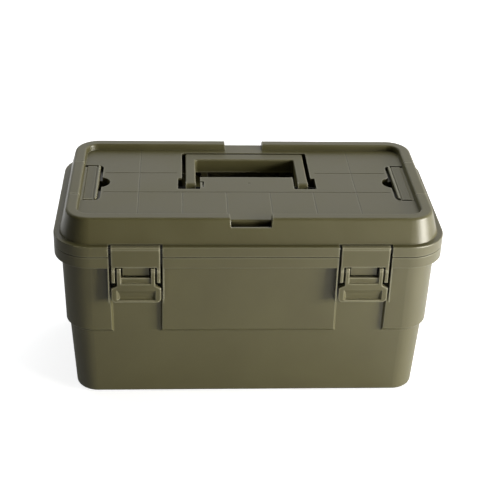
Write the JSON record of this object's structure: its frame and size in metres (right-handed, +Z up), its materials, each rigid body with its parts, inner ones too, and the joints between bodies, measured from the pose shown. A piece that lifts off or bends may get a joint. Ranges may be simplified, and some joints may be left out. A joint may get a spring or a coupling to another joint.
{
  "type": "toolbox",
  "caption": "Moulded plastic toolbox with a hinged lid, flush folding handle, front draw latches, end stacking clips and a lift-out tray.",
  "frame": {"origin": "centre of the bounding box at the level of the foot that the box stands on", "axes": "+X along the front towards the viewer's right, +Y from the front with the latches to the back with the hinges, +Z up"},
  "size_m": [0.436, 0.2406, 0.2371],
  "materials": {
    "tub_plastic": "olive drab moulded plastic, fine matte grain",
    "lid_plastic": "olive drab moulded plastic, fine matte grain",
    "handle_plastic": "olive drab moulded plastic, slightly smoother",
    "latch_plastic": "olive drab moulded plastic, slightly smoother",
    "clip_plastic": "olive drab moulded plastic, slightly smoother",
    "tray_plastic": "black moulded plastic, matte",
    "divider_plastic": "black sheet plastic, matte",
    "pin_steel": "zinc plated steel pin",
    "pin_dark_steel": "blackened steel pin"
  },
  "bodies": {
    "tub": {"tub": "tub_plastic", "hinge_pin_left": "pin_steel", "hinge_pin_right": "pin_steel"},
    "lid": {"lid": "lid_plastic", "handle_pin_left": "pin_dark_steel", "handle_pin_right": "pin_dark_steel", "hasp_pin_left": "pin_steel", "hasp_pin_right": "pin_steel", "clip_pin_left": "pin_steel", "clip_pin_right": "pin_steel"},
    "handle": {"handle": "handle_plastic"},
    "hasp_left": {"hasp_left": "latch_plastic", "lever_pins_left": "pin_steel"},
    "hasp_right": {"hasp_right": "latch_plastic", "lever_pins_right": "pin_steel"},
    "lever_left": {"latch_lever_left": "latch_plastic"},
    "lever_right": {"latch_lever_right": "latch_plastic"},
    "clip_left": {"stacking_clip_left": "clip_plastic"},
    "clip_right": {"stacking_clip_right": "clip_plastic"},
    "tray": {"tray": "tray_plastic"},
    "divider_left": {"tray_divider_left": "divider_plastic"},
    "divider_right": {"tray_divider_right": "divider_plastic"}
  },
  "joints": [
    {"name": "lid_hinge", "type": "hinge", "parent": "tub", "child": "lid", "pos_m": [0, 0.1159, 0.1963], "axis": [-1, 0, 0], "range_deg": [0, 103]},
    {"name": "handle_fold", "type": "hinge", "parent": "lid", "child": "handle", "pos_m": [0, -0.002, 0.2215], "axis": [1, 0, 0], "range_deg": [0, 120]},
    {"name": "hasp_left_swing", "type": "hinge", "parent": "lid", "child": "hasp_left", "pos_m": [-0.1262, -0.1166, 0.2059], "axis": [-1, 0, 0], "range_deg": [0, 110]},
    {"name": "hasp_right_swing", "type": "hinge", "parent": "lid", "child": "hasp_right", "pos_m": [0.1262, -0.1166, 0.2059], "axis": [-1, 0, 0], "range_deg": [0, 110]},
    {"name": "lever_left_pull", "type": "hinge", "parent": "hasp_left", "child": "lever_left", "pos_m": [-0.1262, -0.1172, 0.1789], "axis": [-1, 0, 0], "range_deg": [0, 100]},
    {"name": "lever_right_pull", "type": "hinge", "parent": "hasp_right", "child": "lever_right", "pos_m": [0.1262, -0.1172, 0.1789], "axis": [-1, 0, 0], "range_deg": [0, 100]},
    {"name": "clip_left_flip", "type": "hinge", "parent": "lid", "child": "clip_left", "pos_m": [-0.20461, -0.002, 0.2199], "axis": [0, -1, 0], "range_deg": [0, 110]},
    {"name": "clip_right_flip", "type": "hinge", "parent": "lid", "child": "clip_right", "pos_m": [0.20461, -0.002, 0.2199], "axis": [0, 1, 0], "range_deg": [0, 110]},
    {"name": "tray_lift", "type": "slide", "parent": "tub", "child": "tray", "axis": [0, 0, 1], "range_m": [0, 0.01]},
    {"name": "divider_left_lift", "type": "slide", "parent": "tray", "child": "divider_left", "axis": [0, 0, 1], "range_m": [0, 0.01]},
    {"name": "divider_right_lift", "type": "slide", "parent": "tray", "child": "divider_right", "axis": [0, 0, 1], "range_m": [0, 0.01]}
  ]
}
